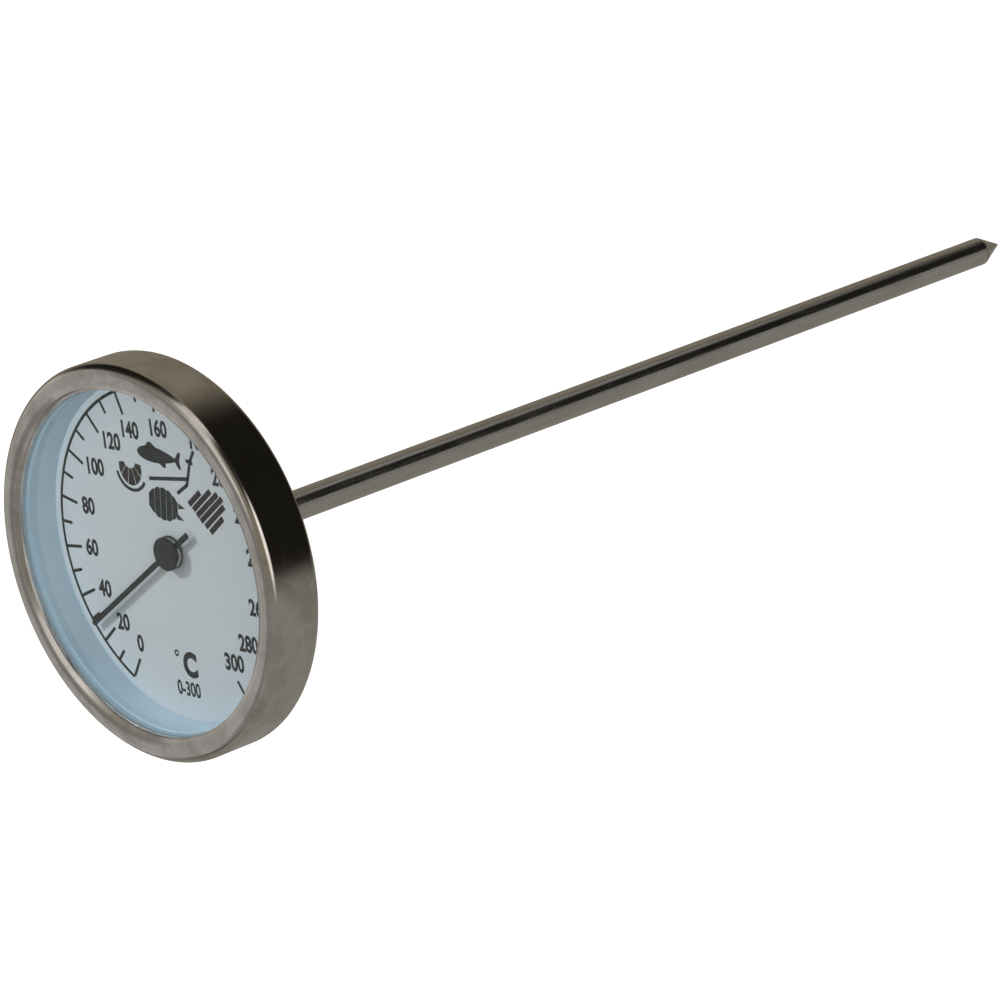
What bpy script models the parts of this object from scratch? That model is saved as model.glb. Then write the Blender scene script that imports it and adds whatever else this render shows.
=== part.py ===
"""Bimetal dial thermometer: a shallow round case on a long pointed stem.

Frame, in metres: the origin is on the stem's axis in the plane of the case's back. The stem
runs along +Y, the dial faces -Y, and 12 o'clock on the dial is +Z. The spindle turns about
the Y axis, and a positive turn carries the pointer clockwise, towards higher temperatures.
"""

import math

import bmesh
import bpy
from mathutils import Matrix, Vector

MM = 0.001

# Driving dimensions, in millimetres.
CASE_RADIUS = 26.0
CASE_DEPTH = 7.8
SHEET = 0.4
CORNER_RADIUS = 1.0
OPENING_RADIUS = 22.6
STEM_RADIUS = 2.0
STEM_LENGTH = 157.0
POINT_LENGTH = 4.3
POINTER_LENGTH = 20.75
TAIL_LENGTH = 5.2
POINTER_REST_DEG = -124.9
FIT_GAP = 0.1
SIDE_GAP = 0.15

# Levels along Y, measured in millimetres from the case's back towards the front.
FRONT = -CASE_DEPTH
LIP_DROP = 0.55
LIP_RIM_RADIUS = 24.4
SHOULDER_DROP = SHEET + SIDE_GAP
CURL_RADIUS = 24.5
BOSS_RADIUS = 6.0
BOSS_RISE = 0.8
DIAL_THICKNESS = 0.45
DIAL_BACK = -SHEET - FIT_GAP
DIAL_FACE = DIAL_BACK - DIAL_THICKNESS
GASKET_THICKNESS = 0.35
GASKET_FRONT = FRONT + LIP_DROP + SHEET + FIT_GAP
LENS_THICKNESS = 0.8
LENS_FRONT = GASKET_FRONT + GASKET_THICKNESS + FIT_GAP
LENS_BACK = LENS_FRONT + LENS_THICKNESS
SPACER_RADIUS = 22.4
SKIRT_INNER = CASE_RADIUS - SHEET
CUP_RADIUS = SKIRT_INNER - SIDE_GAP
CUP_INNER = CUP_RADIUS - SHEET
CUP_STEP_RADIUS = CURL_RADIUS - SIDE_GAP
TUBE_BORE = STEM_RADIUS - SHEET
BUSH_RADIUS = TUBE_BORE - SIDE_GAP
NUT_THICKNESS = 0.6
WASHER_THICKNESS = 0.5
TUBE_TOP = BOSS_RISE - SHEET - FIT_GAP - NUT_THICKNESS
TUBE_END = STEM_LENGTH - POINT_LENGTH - FIT_GAP
SPINDLE_RADIUS = 0.4
SPINDLE_BORE = SPINDLE_RADIUS + FIT_GAP
HUB_RADIUS = 2.2
HUB_FRONT = DIAL_FACE - 1.4
BOSS_THICKNESS = 0.4
NECK_RADIUS = 1.9
BLADE_THICKNESS = 0.2
BLADE_WIDTH = 0.62

LARGE_STEPS = 64
SMALL_STEPS = 32
SMOOTH_ANGLE = math.radians(40)

STAINLESS = ("polished_stainless", (0.72, 0.71, 0.69), 0.12, 1.0)
BRASS = ("brass", (0.78, 0.60, 0.28), 0.28, 1.0)
BLACK_PAINT = ("black_paint", (0.015, 0.017, 0.015), 0.35, 0.0)
GLASS = ("window_glass", (0.93, 0.96, 0.96), 0.03, 0.0)
RUBBER = ("seal_rubber", (0.4, 0.5, 0.57), 0.7, 0.0)
WHITE_PLASTIC = ("spacer_plastic", (0.62, 0.70, 0.74), 0.45, 0.0)
DIAL_PAINT = ("dial_paint", (0.66, 0.69, 0.69), 0.5, 0.0)
BIMETAL = ("bimetal_strip", (0.62, 0.56, 0.48), 0.3, 1.0)
SEAL_FIBRE = ("seal_fibre", (0.75, 0.74, 0.70), 0.6, 0.0)


def clear_scene():
    for old in list(bpy.data.objects):
        bpy.data.objects.remove(old, do_unlink=True)


def finish_of(finish):
    """The Principled material of a finish, made once and shared."""
    name, colour, roughness, metallic = finish
    material = bpy.data.materials.get(name)
    if material is None:
        material = bpy.data.materials.new(name)
        material.use_nodes = True
        shader = material.node_tree.nodes["Principled BSDF"]
        shader.inputs["Base Color"].default_value = (*colour, 1.0)
        shader.inputs["Roughness"].default_value = roughness
        shader.inputs["Metallic"].default_value = metallic
    return material


def add_object(name, bm, finish, parent=None):
    """Turns a bmesh in millimetres into a named object in metres with its faces pointing out."""
    bmesh.ops.recalc_face_normals(bm, faces=bm.faces)
    bmesh.ops.scale(bm, vec=Vector((MM, MM, MM)), verts=bm.verts)
    mesh = bpy.data.meshes.new(name)
    bm.to_mesh(mesh)
    bm.free()
    mesh.materials.append(finish_of(finish))
    mesh.shade_smooth()
    mesh.set_sharp_from_angle(angle=SMOOTH_ANGLE)
    piece = bpy.data.objects.new(name, mesh)
    bpy.context.scene.collection.objects.link(piece)
    piece.parent = parent
    return piece


def arc(centre, radius, start_deg, end_deg, steps):
    """Points (r, y) of an arc; 0 degrees points outwards along r, and 90 degrees along +Y."""
    r, y = centre
    angles = [math.radians(start_deg + (end_deg - start_deg) * i / steps) for i in range(steps + 1)]
    return [(r + radius * math.cos(a), y + radius * math.sin(a)) for a in angles]


def turned(name, profile, finish, steps=LARGE_STEPS, parent=None):
    """A solid of revolution about Y, from a closed outline of (radius, y) points.

    Points of radius 0 lie on the axis and become single poles.
    """
    bm = bmesh.new()
    rings = []
    for radius, y in profile:
        if radius == 0:
            rings.append([bm.verts.new((0, y, 0))])
            continue
        turn = [2 * math.pi * i / steps for i in range(steps)]
        rings.append([bm.verts.new((radius * math.sin(a), y, radius * math.cos(a))) for a in turn])
    for here, there in zip(rings, rings[1:] + rings[:1]):
        if len(here) == 1 and len(there) == 1:
            continue
        for i in range(steps):
            j = (i + 1) % steps
            corners = [here[i % len(here)], here[j % len(here)], there[j % len(there)], there[i % len(there)]]
            bm.faces.new(list(dict.fromkeys(corners)))
    return add_object(name, bm, finish, parent)


def ring(name, inner, outer, front, back, finish, steps=LARGE_STEPS, parent=None):
    """A plain flat ring or tube between two radii and two levels."""
    profile = [(inner, front), (outer, front), (outer, back), (inner, back)]
    return turned(name, profile, finish, steps, parent)


def circle(radius, steps):
    """Points (x, z) round the Y axis."""
    turn = [2 * math.pi * i / steps for i in range(steps)]
    return [(radius * math.sin(a), radius * math.cos(a)) for a in turn]


def plate(name, outline, hole, front, thickness, finish, parent=None):
    """A flat plate square to Y with one hole, from its outline's and its hole's (x, z) points."""
    bm = bmesh.new()
    edges = []
    for loop in (outline, hole):
        corners = [bm.verts.new((x, front, z)) for x, z in loop]
        edges += [bm.edges.new((a, b)) for a, b in zip(corners, corners[1:] + corners[:1])]
    filled = bmesh.ops.triangle_fill(bm, use_beauty=True, use_dissolve=False, edges=edges)
    faces = [item for item in filled["geom"] if isinstance(item, bmesh.types.BMFace)]
    extruded = bmesh.ops.extrude_face_region(bm, geom=faces, use_keep_orig=True)
    moved = [item for item in extruded["geom"] if isinstance(item, bmesh.types.BMVert)]
    bmesh.ops.translate(bm, vec=Vector((0, thickness, 0)), verts=moved)
    return add_object(name, bm, finish, parent)


# The case


def make_bezel_ring():
    """Front lip, side wall and the curl at the back, pressed from one sheet."""
    corner = CASE_RADIUS - CORNER_RADIUS
    inner_corner = CORNER_RADIUS - SHEET
    front_centre = (corner, FRONT + CORNER_RADIUS)
    back_centre = (corner, -CORNER_RADIUS)
    outside = [(OPENING_RADIUS, FRONT + LIP_DROP), (LIP_RIM_RADIUS, FRONT)]
    outside += arc(front_centre, CORNER_RADIUS, -90, 0, 4)
    outside += arc(back_centre, CORNER_RADIUS, 0, 90, 3)
    outside += [(CURL_RADIUS, 0)]
    inside = [(CURL_RADIUS, -SHEET)]
    inside += arc(back_centre, inner_corner, 90, 0, 2)
    inside += arc(front_centre, inner_corner, 0, -90, 2)
    inside += [(LIP_RIM_RADIUS, FRONT + SHEET), (OPENING_RADIUS, FRONT + LIP_DROP + SHEET)]
    return turned("bezel_ring", outside + inside, STAINLESS)


def make_lens_gasket():
    outer = SKIRT_INNER - SIDE_GAP
    inner = OPENING_RADIUS - FIT_GAP
    back = GASKET_FRONT + GASKET_THICKNESS
    return ring("lens_gasket", inner, outer, GASKET_FRONT, back, RUBBER)


def make_lens():
    """Flat glass disc with ground edges."""
    radius = SKIRT_INNER - SIDE_GAP
    bevel = 0.15
    profile = [(0, LENS_FRONT), (radius - bevel, LENS_FRONT), (radius, LENS_FRONT + bevel)]
    profile += [(radius, LENS_BACK - bevel), (radius - bevel, LENS_BACK), (0, LENS_BACK)]
    return turned("lens", profile, GLASS)


def make_spacer_ring():
    """Pale wall that presses the dial down and carries the glass."""
    front = LENS_BACK + FIT_GAP
    back = DIAL_FACE - FIT_GAP
    return ring("spacer_ring", SPACER_RADIUS, CUP_RADIUS - 2 * SHEET, front, back, WHITE_PLASTIC)


def make_dial_plate():
    """Flat plate that lies in the well of the cup's stepped floor."""
    hole = 3 * SPINDLE_RADIUS
    outer = CUP_STEP_RADIUS - SHEET - SIDE_GAP
    return ring("dial_plate", hole, outer, DIAL_FACE, DIAL_BACK, DIAL_PAINT)


def make_case_cup():
    """Pan with a stepped back and a boss round the stem.

    The bezel's curl lies in the step, and the dial lies in the well inside it.
    """
    rim = LENS_BACK + FIT_GAP
    step = CUP_STEP_RADIUS
    shoulder = -SHOULDER_DROP
    hole = STEM_RADIUS + SIDE_GAP
    bend = 2 * SHEET
    boss_foot = BOSS_RADIUS + BOSS_RISE
    outside = [(hole, BOSS_RISE), (BOSS_RADIUS, BOSS_RISE), (boss_foot, 0), (step, 0), (step, shoulder)]
    outside += arc((CUP_RADIUS - bend, shoulder - bend), bend, 90, 0, 3)
    outside += [(CUP_RADIUS, rim)]
    inside = [(CUP_INNER, rim)]
    inside += arc((CUP_RADIUS - bend, shoulder - bend), bend - SHEET, 0, 90, 2)
    inside += [(step - SHEET, shoulder - SHEET), (step - SHEET, -SHEET), (boss_foot, -SHEET)]
    inside += [(BOSS_RADIUS, BOSS_RISE - SHEET), (hole, BOSS_RISE - SHEET)]
    return turned("case_cup", outside + inside, STAINLESS)


# The stem


def make_stem_nut():
    """Thin hexagonal nut that clamps the stem to the case back from inside."""
    across_flats = 7.0
    corner_radius = across_flats / math.sqrt(3)
    hole = circle(STEM_RADIUS + SIDE_GAP, SMALL_STEPS)
    return plate("stem_nut", circle(corner_radius, 6), hole, TUBE_TOP, NUT_THICKNESS, BRASS)


def make_stem_washer():
    hole = STEM_RADIUS + SIDE_GAP
    front = BOSS_RISE + FIT_GAP
    back = front + WASHER_THICKNESS
    return ring("stem_washer", hole, 2.1 * STEM_RADIUS, front, back, SEAL_FIBRE, SMALL_STEPS)


def make_stem_collar():
    """Shoulder fixed to the stem behind the case."""
    bore = STEM_RADIUS + FIT_GAP
    flange_radius = 2 * STEM_RADIUS
    neck_radius = 1.45 * STEM_RADIUS
    start = BOSS_RISE + WASHER_THICKNESS + 2 * FIT_GAP
    flange_end = start + 1.2
    end = start + 5.0
    chamfer = 0.5
    profile = [(bore, start), (flange_radius - chamfer / 2, start), (flange_radius, start + chamfer / 2)]
    profile += [(flange_radius, flange_end), (neck_radius, flange_end)]
    profile += [(neck_radius, end - chamfer), (neck_radius - chamfer, end), (bore, end)]
    return turned("stem_collar", profile, STAINLESS, SMALL_STEPS)


def make_stem_tube():
    return ring("stem_tube", TUBE_BORE, STEM_RADIUS, TUBE_TOP, TUBE_END, STAINLESS, SMALL_STEPS)


def make_stem_tip():
    """Conical point with a plug that closes the tube."""
    shoulder = TUBE_END + FIT_GAP
    plug_start = shoulder - 4.0
    chamfer = 0.2
    nose = 0.12
    profile = [(0, plug_start), (BUSH_RADIUS - chamfer, plug_start), (BUSH_RADIUS, plug_start + chamfer)]
    profile += [(BUSH_RADIUS, shoulder), (STEM_RADIUS, shoulder)]
    profile += [(nose, STEM_LENGTH - nose), (0, STEM_LENGTH)]
    return turned("stem_tip", profile, STAINLESS, SMALL_STEPS)


def make_guides():
    """The bush at the top of the tube and two guides further down keep the spindle central."""
    guides = (("top_bearing", TUBE_TOP, 3.4), ("spindle_guide_1", 38.0, 2.0), ("spindle_guide_2", 76.0, 2.0))
    for name, start, length in guides:
        ring(name, SPINDLE_BORE, BUSH_RADIUS, start, start + length, BRASS, SMALL_STEPS)


# The bimetal coil

COIL_START = 112.0
COIL_TURNS = 16
COIL_PITCH = 1.9
COIL_RADIUS = 1.1
STRIP_WIDTH = 1.3
STRIP_THICKNESS = 0.2
COIL_END = COIL_START + COIL_TURNS * COIL_PITCH + STRIP_WIDTH


def make_bimetal_helix():
    """Flat bimetal strip wound into a helix: a rectangle swept round the Y axis."""
    steps_per_turn = 14
    section = [(-0.5, 0), (0.5, 0), (0.5, 1), (-0.5, 1)]
    bm = bmesh.new()
    loops = []
    for i in range(COIL_TURNS * steps_per_turn + 1):
        angle = 2 * math.pi * i / steps_per_turn
        base = COIL_START + COIL_PITCH * i / steps_per_turn
        corners = []
        for across, along in section:
            radius = COIL_RADIUS + across * STRIP_THICKNESS
            y = base + along * STRIP_WIDTH
            corners.append(bm.verts.new((radius * math.sin(angle), y, radius * math.cos(angle))))
        loops.append(corners)
    for here, there in zip(loops, loops[1:]):
        for i in range(len(section)):
            j = (i + 1) % len(section)
            bm.faces.new((here[i], here[j], there[j], there[i]))
    bm.faces.new(loops[0])
    bm.faces.new(loops[-1][::-1])
    return add_object("bimetal_helix", bm, BIMETAL)


def make_helix_anchor():
    """Plug pressed into the tube below the coil, with a stub the strip is welded to."""
    start = COIL_END + SIDE_GAP
    stub_end = start + 0.8
    end = stub_end + 1.8
    stub_radius = COIL_RADIUS
    profile = [(0, start), (stub_radius, start), (stub_radius, stub_end), (BUSH_RADIUS, stub_end)]
    profile += [(BUSH_RADIUS, end), (0, end)]
    return turned("helix_anchor", profile, BRASS, SMALL_STEPS)


# The parts that turn with the pointer

SPINDLE_TOP = HUB_FRONT + 0.2
FERRULE_LENGTH = 5.0
FERRULE_END = COIL_START - SIDE_GAP
FERRULE_WALL = 0.7


def make_spindle_axis():
    """Empty on the joint's axis, turned to the pointer's resting angle."""
    axis = bpy.data.objects.new("spindle_axis", None)
    bpy.context.scene.collection.objects.link(axis)
    axis.matrix_world = Matrix.Rotation(math.radians(POINTER_REST_DEG), 4, "Y")
    return axis


def make_spindle(axis):
    end = FERRULE_END - FERRULE_WALL - SIDE_GAP
    profile = [(0, SPINDLE_TOP), (SPINDLE_RADIUS, SPINDLE_TOP), (SPINDLE_RADIUS, end), (0, end)]
    return turned("spindle", profile, STAINLESS, SMALL_STEPS // 2, axis)


def make_helix_ferrule(axis):
    """Cap on the spindle's lower end that the coil's upper end is welded to."""
    mouth = FERRULE_END - FERRULE_LENGTH
    floor = FERRULE_END - FERRULE_WALL
    outer = COIL_RADIUS
    profile = [(SPINDLE_BORE, mouth), (outer, mouth), (outer, FERRULE_END), (0, FERRULE_END)]
    profile += [(0, floor), (SPINDLE_BORE, floor)]
    return turned("helix_ferrule", profile, BRASS, SMALL_STEPS, axis)


def make_pointer_boss(axis):
    """Black front disc with a rounded edge, bored from behind for the spindle's end."""
    back = HUB_FRONT + BOSS_THICKNESS
    edge = 0.2
    bore_end = SPINDLE_TOP - FIT_GAP
    profile = [(0, HUB_FRONT)]
    profile += arc((HUB_RADIUS - edge, HUB_FRONT + edge), edge, -90, 0, 3)
    profile += [(HUB_RADIUS, back), (SPINDLE_BORE, back), (SPINDLE_BORE, bore_end), (0, bore_end)]
    return turned("pointer_boss", profile, BLACK_PAINT, SMALL_STEPS, axis)


def make_pointer_blade(axis):
    """Straight blade with a short tail, on one eye: a strip whose middle swells to a round."""
    front = HUB_FRONT + BOSS_THICKNESS + FIT_GAP
    half = BLADE_WIDTH / 2
    eye_radius = 0.7 * HUB_RADIUS
    meet = math.degrees(math.asin(half / eye_radius))
    round_steps = 8
    outline = [(-half, POINTER_LENGTH - half), (0, POINTER_LENGTH), (half, POINTER_LENGTH - half)]
    for start in (meet, 180 + meet):
        for i in range(round_steps + 1):
            angle = math.radians(start + (180 - 2 * meet) * i / round_steps)
            outline.append((eye_radius * math.sin(angle), eye_radius * math.cos(angle)))
        if start == meet:
            outline += [(half, -TAIL_LENGTH), (-half, -TAIL_LENGTH)]
    hole = circle(SPINDLE_BORE, SMALL_STEPS // 2)
    return plate("pointer_blade", outline, hole, front, BLADE_THICKNESS, BLACK_PAINT, axis)


def make_pointer_bush(axis):
    """Collar under the blade: a neck and a wider foot just clear of the dial."""
    neck_start = HUB_FRONT + BOSS_THICKNESS + 2 * FIT_GAP + BLADE_THICKNESS
    foot_start = neck_start + 0.2
    foot_end = DIAL_FACE - 2 * FIT_GAP
    profile = [(SPINDLE_BORE, neck_start), (NECK_RADIUS, neck_start), (NECK_RADIUS, foot_start)]
    profile += [(HUB_RADIUS, foot_start), (HUB_RADIUS, foot_end), (SPINDLE_BORE, foot_end)]
    return turned("pointer_bush", profile, BLACK_PAINT, SMALL_STEPS, axis)


def main():
    clear_scene()
    make_bezel_ring()
    make_lens_gasket()
    make_lens()
    make_spacer_ring()
    make_dial_plate()
    make_case_cup()
    make_stem_nut()
    make_stem_washer()
    make_stem_collar()
    make_stem_tube()
    make_stem_tip()
    make_guides()
    make_bimetal_helix()
    make_helix_anchor()
    axis = make_spindle_axis()
    make_spindle(axis)
    make_helix_ferrule(axis)
    make_pointer_boss(axis)
    make_pointer_blade(axis)
    make_pointer_bush(axis)


main()
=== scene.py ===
"""The looks of a dial thermometer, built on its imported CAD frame.

Lengths are in millimetres in the row frame unless a name says otherwise: the stem runs along
+Y, the dial faces -Y, and 12 o'clock is +Z. Angles on the dial are in degrees clockwise from
12 o'clock, seen from the front.
"""

import math

import bmesh
import bpy
from mathutils import Matrix, Vector


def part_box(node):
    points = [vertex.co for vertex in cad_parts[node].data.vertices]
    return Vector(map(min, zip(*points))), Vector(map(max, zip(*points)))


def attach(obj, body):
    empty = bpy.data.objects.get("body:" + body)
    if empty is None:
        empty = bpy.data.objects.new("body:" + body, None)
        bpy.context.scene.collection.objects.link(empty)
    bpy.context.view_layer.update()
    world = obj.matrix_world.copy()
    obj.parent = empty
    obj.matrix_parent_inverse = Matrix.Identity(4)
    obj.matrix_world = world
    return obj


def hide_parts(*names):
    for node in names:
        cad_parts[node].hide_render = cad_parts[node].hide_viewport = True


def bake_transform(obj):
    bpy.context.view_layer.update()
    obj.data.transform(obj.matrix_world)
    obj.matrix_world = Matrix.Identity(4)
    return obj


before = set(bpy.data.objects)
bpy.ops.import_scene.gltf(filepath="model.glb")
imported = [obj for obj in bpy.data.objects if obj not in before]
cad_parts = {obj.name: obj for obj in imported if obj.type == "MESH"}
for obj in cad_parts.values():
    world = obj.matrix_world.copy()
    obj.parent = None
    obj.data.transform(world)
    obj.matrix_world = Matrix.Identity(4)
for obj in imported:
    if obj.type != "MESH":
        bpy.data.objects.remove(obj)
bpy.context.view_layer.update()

MM = 0.001
FINE_STEPS = 256
SMALL_STEPS = 96
SMOOTH_ANGLE = math.radians(42)
EDGE_MARGIN = 0.04
CASE_BODY = "case"
POINTER_BODY = "pointer"


def cad_box(node):
    """The lowest and highest corner of a CAD node."""
    low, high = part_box(node)
    return low / MM, high / MM


# Sizes that the pieces share: the first three are given, the rest are read from the CAD nodes' boxes.

SHEET = 0.4
SEAM = 0.1
SIDE_GAP = 0.15
FRONT = cad_box("bezel_ring")[0].y
CASE_RADIUS = cad_box("bezel_ring")[1].x
DIAL_FACE = cad_box("dial_plate")[0].y
DIAL_BACK = cad_box("dial_plate")[1].y
DIAL_RADIUS = cad_box("dial_plate")[1].x
STEM_RADIUS = cad_box("stem_tube")[1].x


# Shapes


def filleted(corners, steps=6):
    """A closed outline from (radius, y, fillet) corners, each rounded by its own fillet.

    A point just before and just after each rounding keeps the flats beside it evenly shaded.
    """
    points = [Vector(corner[:2]) for corner in corners]
    count = len(points)
    sides = [(points[i] - points[i - 1], points[(i + 1) % count] - points[i]) for i in range(count)]
    half_turns = [(-before).angle(after) / 2 for before, after in sides]
    setbacks = [corner[2] / math.tan(half_turn) for corner, half_turn in zip(corners, half_turns)]
    for i in range(count):
        room = 0.9 * sides[i][0].length
        wanted = setbacks[i - 1] + setbacks[i]
        if wanted > room:
            setbacks[i - 1] *= room / wanted
            setbacks[i] *= room / wanted
    outline = []
    for here, (before, after), half_turn, setback in zip(points, sides, half_turns, setbacks):
        if setback < 1e-4:
            outline.append(tuple(here))
            continue
        start = here - before.normalized() * setback
        end = here + after.normalized() * setback
        middle = (start + end) / 2
        centre = here + (middle - here).normalized() * setback / math.cos(half_turn)
        spoke = start - centre
        sweep = spoke.angle_signed(end - centre)
        margin = min(EDGE_MARGIN, EDGE_MARGIN * before.length)
        outline.append(tuple(start - before.normalized() * margin))
        for step in range(steps + 1):
            turn = Matrix.Rotation(-sweep * step / steps, 2)
            outline.append(tuple(centre + turn @ spoke))
        margin = min(EDGE_MARGIN, EDGE_MARGIN * after.length)
        outline.append(tuple(end + after.normalized() * margin))
    return outline


def arc(centre, across, along, start_deg, end_deg, steps):
    """Points (radius, y) of an elliptical arc; 0 degrees is outwards and 90 degrees along +Y."""
    angles = [math.radians(start_deg + (end_deg - start_deg) * i / steps) for i in range(steps + 1)]
    return [(centre[0] + across * math.cos(a), centre[1] + along * math.sin(a)) for a in angles]


def revolve(outline, steps):
    """A bmesh turned about Y from a closed (radius, y) outline; radius 0 makes a pole."""
    bm = bmesh.new()
    rings = []
    for radius, y in outline:
        if abs(radius) < 1e-6:
            rings.append([bm.verts.new((0, y, 0))])
            continue
        turn = [2 * math.pi * i / steps for i in range(steps)]
        rings.append([bm.verts.new((radius * math.sin(a), y, radius * math.cos(a))) for a in turn])
    for here, there in zip(rings, rings[1:] + rings[:1]):
        if len(here) == 1 and len(there) == 1:
            continue
        for i in range(steps):
            j = (i + 1) % steps
            corners = [here[i % len(here)], here[j % len(here)]]
            corners += [there[j % len(there)], there[i % len(there)]]
            bm.faces.new(list(dict.fromkeys(corners)))
    return bm


def prism(bm, outline, front, back):
    """Adds a flat solid to bm, from its outline's (x, z) points and its two levels."""
    near = [bm.verts.new((x, front, z)) for x, z in outline]
    far = [bm.verts.new((x, back, z)) for x, z in outline]
    bm.faces.new(near)
    bm.faces.new(far[::-1])
    for i in range(len(outline)):
        j = (i + 1) % len(outline)
        bm.faces.new((near[i], far[i], far[j], near[j]))


def solid(name, bm, material):
    """Turns a bmesh in millimetres into an object in metres."""
    bmesh.ops.recalc_face_normals(bm, faces=bm.faces)
    bmesh.ops.scale(bm, vec=Vector((MM, MM, MM)), verts=bm.verts)
    mesh = bpy.data.meshes.new(name)
    bm.to_mesh(mesh)
    bm.free()
    mesh.materials.append(material)
    mesh.shade_smooth()
    mesh.set_sharp_from_angle(angle=SMOOTH_ANGLE)
    made = bpy.data.objects.new(name, mesh)
    bpy.context.scene.collection.objects.link(made)
    return made


def add_piece(name, bm, material, slot, body, *nodes):
    """Makes a solid that rides on a body and is shown in place of CAD nodes."""
    piece = solid(name, bm, material)
    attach(piece, body)
    if nodes:
        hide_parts(*nodes)
    return piece


def turned(name, corners, material, slot, body, *nodes, steps=FINE_STEPS):
    """A turned piece from (radius, y, fillet) corners."""
    return add_piece(name, revolve(filleted(corners), steps), material, slot, body, *nodes)


# Materials


class Nodes:
    """A node tree and short ways to add nodes to it."""

    def __init__(self, tree):
        self.tree = tree

    def node(self, kind, **settings):
        made = self.tree.nodes.new(kind)
        for key, value in settings.items():
            setattr(made, key, value)
        return made

    def link(self, source, target):
        self.tree.links.new(source, target)

    def maths(self, operation, a, b=None):
        """A Math node on outputs or plain numbers."""
        made = self.node("ShaderNodeMath", operation=operation)
        for socket, value in zip(made.inputs, (a, b)):
            if isinstance(value, (int, float)):
                socket.default_value = value
            elif value is not None:
                self.link(value, socket)
        return made.outputs[0]

    def stepped(self, value, start, end, low=0.0, high=1.0):
        """A smooth change from low to high as value goes from start to end."""
        made = self.node("ShaderNodeMapRange", interpolation_type="SMOOTHSTEP")
        made.inputs["From Min"].default_value = start
        made.inputs["From Max"].default_value = end
        made.inputs["To Min"].default_value = low
        made.inputs["To Max"].default_value = high
        self.link(value, made.inputs["Value"])
        return made.outputs["Result"]

    def mixed(self, factor, first, second):
        """A colour that goes from first, a colour or an output, to the colour second."""
        made = self.node("ShaderNodeMix", data_type="RGBA")
        fraction, under, over = made.inputs[0], made.inputs[6], made.inputs[7]
        self.link(factor, fraction)
        if isinstance(first, tuple):
            under.default_value = (*first, 1.0)
        else:
            self.link(first, under)
        over.default_value = (*second, 1.0)
        return made.outputs[2]


class Look(Nodes):
    """One procedural Principled material."""

    def __init__(self, name, colour, roughness, metallic=0.0):
        self.material = bpy.data.materials.new(name)
        self.material.use_nodes = True
        super().__init__(self.material.node_tree)
        self.shader = self.tree.nodes["Principled BSDF"]
        self.shader.inputs["Base Color"].default_value = (*colour, 1.0)
        self.shader.inputs["Roughness"].default_value = roughness
        self.shader.inputs["Metallic"].default_value = metallic
        self.bumps = None

    def place(self, stretch=(1.0, 1.0, 1.0)):
        """The surface point in millimetres, scaled along each axis."""
        coordinates = self.node("ShaderNodeTexCoord")
        scaled = self.node("ShaderNodeVectorMath", operation="MULTIPLY")
        self.link(coordinates.outputs["Object"], scaled.inputs[0])
        scaled.inputs[1].default_value = [s / MM for s in stretch]
        return scaled.outputs[0]

    def cylindrical(self):
        """The surface point's angle round the Y axis, distance from it and place along it."""
        split = self.node("ShaderNodeSeparateXYZ")
        self.link(self.place(), split.inputs[0])
        x, y, z = split.outputs
        squares = self.maths("ADD", self.maths("MULTIPLY", x, x), self.maths("MULTIPLY", z, z))
        return self.maths("ARCTAN2", x, z), self.maths("SQRT", squares), y

    def round_place(self, per_turn, per_mm):
        """A point for marks that run round the Y axis: slow round it, quick along it and across it."""
        angle, radius, y = self.cylindrical()
        joined = self.node("ShaderNodeCombineXYZ")
        self.link(self.maths("MULTIPLY", self.maths("SINE", angle), per_turn), joined.inputs[0])
        self.link(self.maths("MULTIPLY", self.maths("COSINE", angle), per_turn), joined.inputs[1])
        along = self.maths("ADD", radius, self.maths("MULTIPLY", y, 0.83))
        self.link(self.maths("MULTIPLY", along, per_mm), joined.inputs[2])
        return joined.outputs[0]

    def noise(self, place, scale, detail=3.0, roughness=0.55, distortion=0.0):
        """Noise from 0 to 1 with this many waves per unit of place."""
        made = self.node("ShaderNodeTexNoise")
        made.inputs["Scale"].default_value = scale
        made.inputs["Detail"].default_value = detail
        made.inputs["Roughness"].default_value = roughness
        made.inputs["Distortion"].default_value = distortion
        self.link(place, made.inputs["Vector"])
        return made.outputs["Fac"]

    def coloured(self, factor, first, second):
        """The base colour, blended from first to second by factor."""
        self.link(self.mixed(factor, first, second), self.shader.inputs["Base Color"])

    def rough(self, value):
        self.link(value, self.shader.inputs["Roughness"])

    def bump(self, height, depth_mm, strength=1.0):
        """Adds a bump of this depth on top of any earlier one."""
        made = self.node("ShaderNodeBump")
        made.inputs["Strength"].default_value = strength
        made.inputs["Distance"].default_value = depth_mm * MM
        self.link(height, made.inputs["Height"])
        if self.bumps:
            self.link(self.bumps, made.inputs["Normal"])
        self.bumps = made.outputs["Normal"]
        self.link(self.bumps, self.shader.inputs["Normal"])


def polished_steel():
    """Stainless sheet buffed round the case, with fine circular scratches and faint smears."""
    look = Look("polished_stainless", (0.63, 0.60, 0.56), 0.16, 1.0)
    scratches = look.noise(look.round_place(1.4, 9.0), 2.0, 6.0, 0.7)
    smears = look.noise(look.place(), 0.22, 4.0, 0.6, 0.6)
    grain = look.noise(look.place(), 5.0, 4.0, 0.7)
    look.coloured(look.stepped(smears, 0.35, 0.7), (0.675, 0.64, 0.60), (0.545, 0.505, 0.46))
    blend = look.maths("ADD", look.maths("MULTIPLY", scratches, 0.5), look.maths("MULTIPLY", smears, 0.5))
    look.rough(look.stepped(blend, 0.38, 0.64, 0.12, 0.24))
    look.bump(scratches, 0.0012)
    look.bump(grain, 0.0008)
    return look.material


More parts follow.
